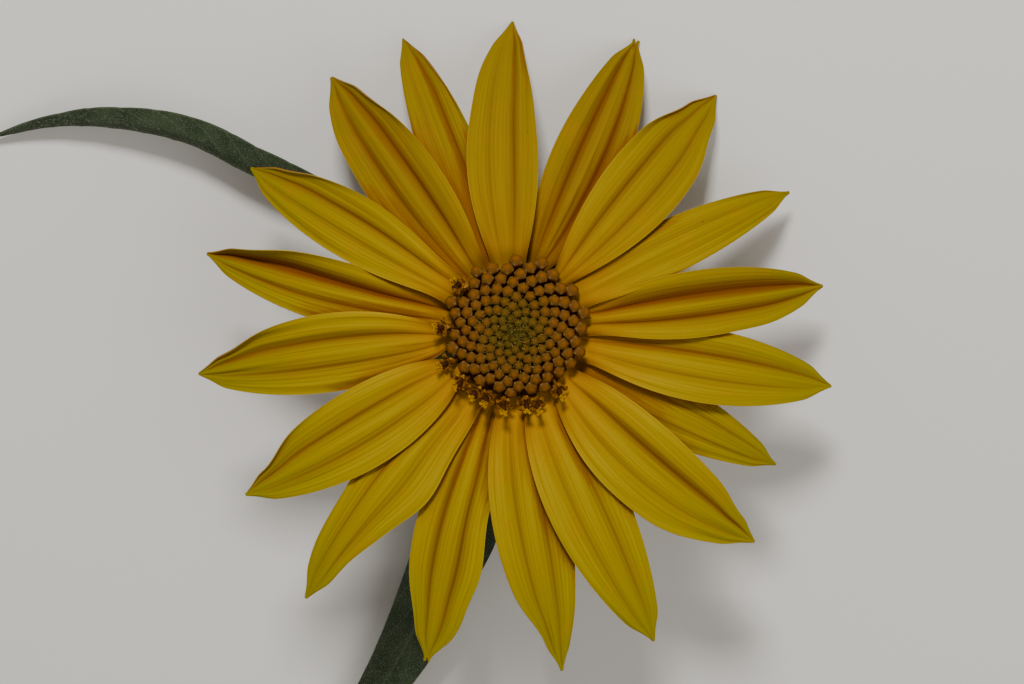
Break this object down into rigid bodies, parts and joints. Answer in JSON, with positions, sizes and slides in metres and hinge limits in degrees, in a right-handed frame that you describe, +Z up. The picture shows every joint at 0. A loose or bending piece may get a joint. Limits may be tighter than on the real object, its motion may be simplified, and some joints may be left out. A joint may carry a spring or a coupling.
{
  "type": "maximilian sunflower, a single cut flower",
  "caption": "Cut yellow sunflower head with broad pointed rays round a dome of small florets, two narrow leaves and a bent stem, lying down.",
  "frame": {"origin": "middle of the flower's footprint, on the surface it lies on", "axes": "+Z up, +Y along the lying stem from its cut end to the head, +X to the right seen from the cut end"},
  "size_m": [0.1234, 0.148, 0.0333],
  "materials": {
    "ray": "matte",
    "disc": "matte",
    "involucre": "matte",
    "stem": "matte",
    "leaf": "matte"
  },
  "bodies": {
    "root": {"ray_01": "ray", "ray_02": "ray", "ray_03": "ray", "ray_04": "ray", "ray_05": "ray", "ray_06": "ray", "ray_07": "ray", "ray_08": "ray", "ray_09": "ray", "ray_10": "ray", "ray_11": "ray", "ray_12": "ray", "ray_13": "ray", "ray_14": "ray", "ray_15": "ray", "ray_16": "ray", "ray_17": "ray", "ray_18": "ray", "disc": "disc", "involucre": "involucre", "stem": "stem", "leaf_left": "leaf", "leaf_back": "leaf"}
  },
  "joints": []
}
